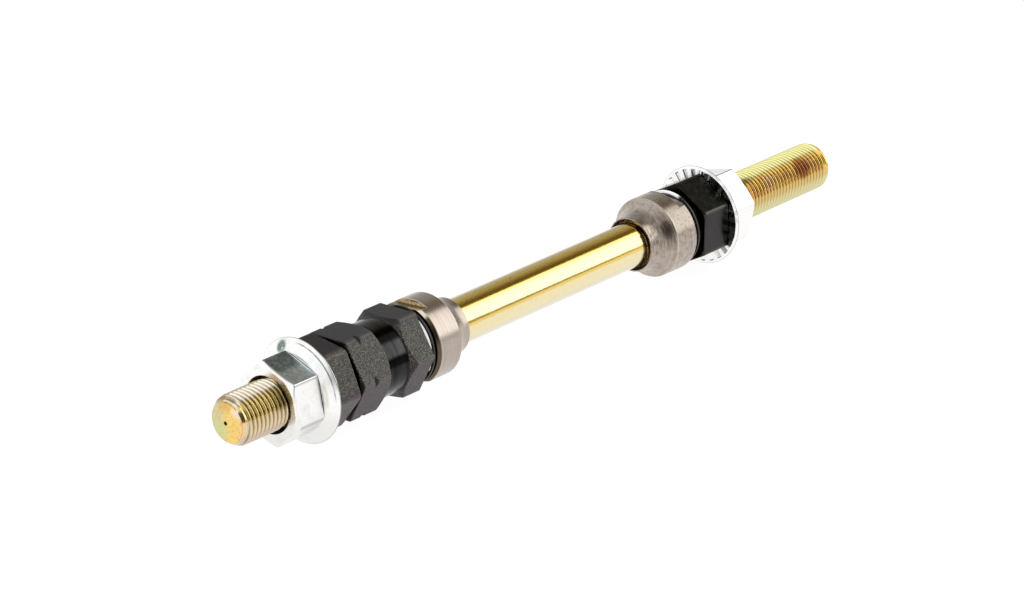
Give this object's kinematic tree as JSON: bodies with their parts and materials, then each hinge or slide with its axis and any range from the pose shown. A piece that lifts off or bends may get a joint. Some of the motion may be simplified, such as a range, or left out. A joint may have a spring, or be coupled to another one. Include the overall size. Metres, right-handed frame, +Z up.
{
  "type": "bicycle hub axle",
  "caption": "Solid threaded rear hub axle with cones, washers, hexagon locknuts, a long double-hexagon spacer and serrated flange axle nuts.",
  "frame": {"origin": "on the axle's centre line, half way along the axle", "axes": "+X along the axle from the drive (right) end to the left end, +Z up"},
  "size_m": [0.165, 0.0198, 0.0198],
  "materials": {
    "gold_chromate": "yellow zinc plated steel, satin",
    "bright_zinc": "bright zinc plated steel",
    "black_oxide": "black oxide steel, grainy satin",
    "ground_steel": "turned and ground hardened steel"
  },
  "bodies": {
    "axle_set": {"axle": "gold_chromate", "right_locknut": "black_oxide", "right_spacer": "black_oxide", "right_cone_washer": "bright_zinc", "right_cone": "ground_steel", "left_cone": "ground_steel", "left_cone_washer": "bright_zinc", "left_locknut": "black_oxide"},
    "right_washer": {"right_nut_washer": "bright_zinc"},
    "right_nut": {"right_nut": "bright_zinc"},
    "left_washer": {"left_nut_washer": "bright_zinc"},
    "left_nut": {"left_nut": "bright_zinc"}
  },
  "joints": [
    {"name": "right_washer_travel", "type": "slide", "parent": "axle_set", "child": "right_washer", "axis": [-1, 0, 0], "range_m": [0, 0.01466]},
    {"name": "right_nut_turn", "type": "hinge", "parent": "right_washer", "child": "right_nut", "pos_m": [-0.0638, 0, 0], "axis": [-1, 0, 0], "range_deg": [0, 5400]},
    {"name": "left_washer_travel", "type": "slide", "parent": "axle_set", "child": "left_washer", "axis": [1, 0, 0], "range_m": [0, 0.03225]},
    {"name": "left_nut_turn", "type": "hinge", "parent": "left_washer", "child": "left_nut", "pos_m": [0.0462, 0, 0], "axis": [1, 0, 0], "range_deg": [0, 11880]}
  ],
  "couplings": [
    {"joint": "right_washer_travel", "follows": "right_nut_turn", "m_per_rad": 0.00015549},
    {"joint": "left_washer_travel", "follows": "left_nut_turn", "m_per_rad": 0.00015549}
  ]
}
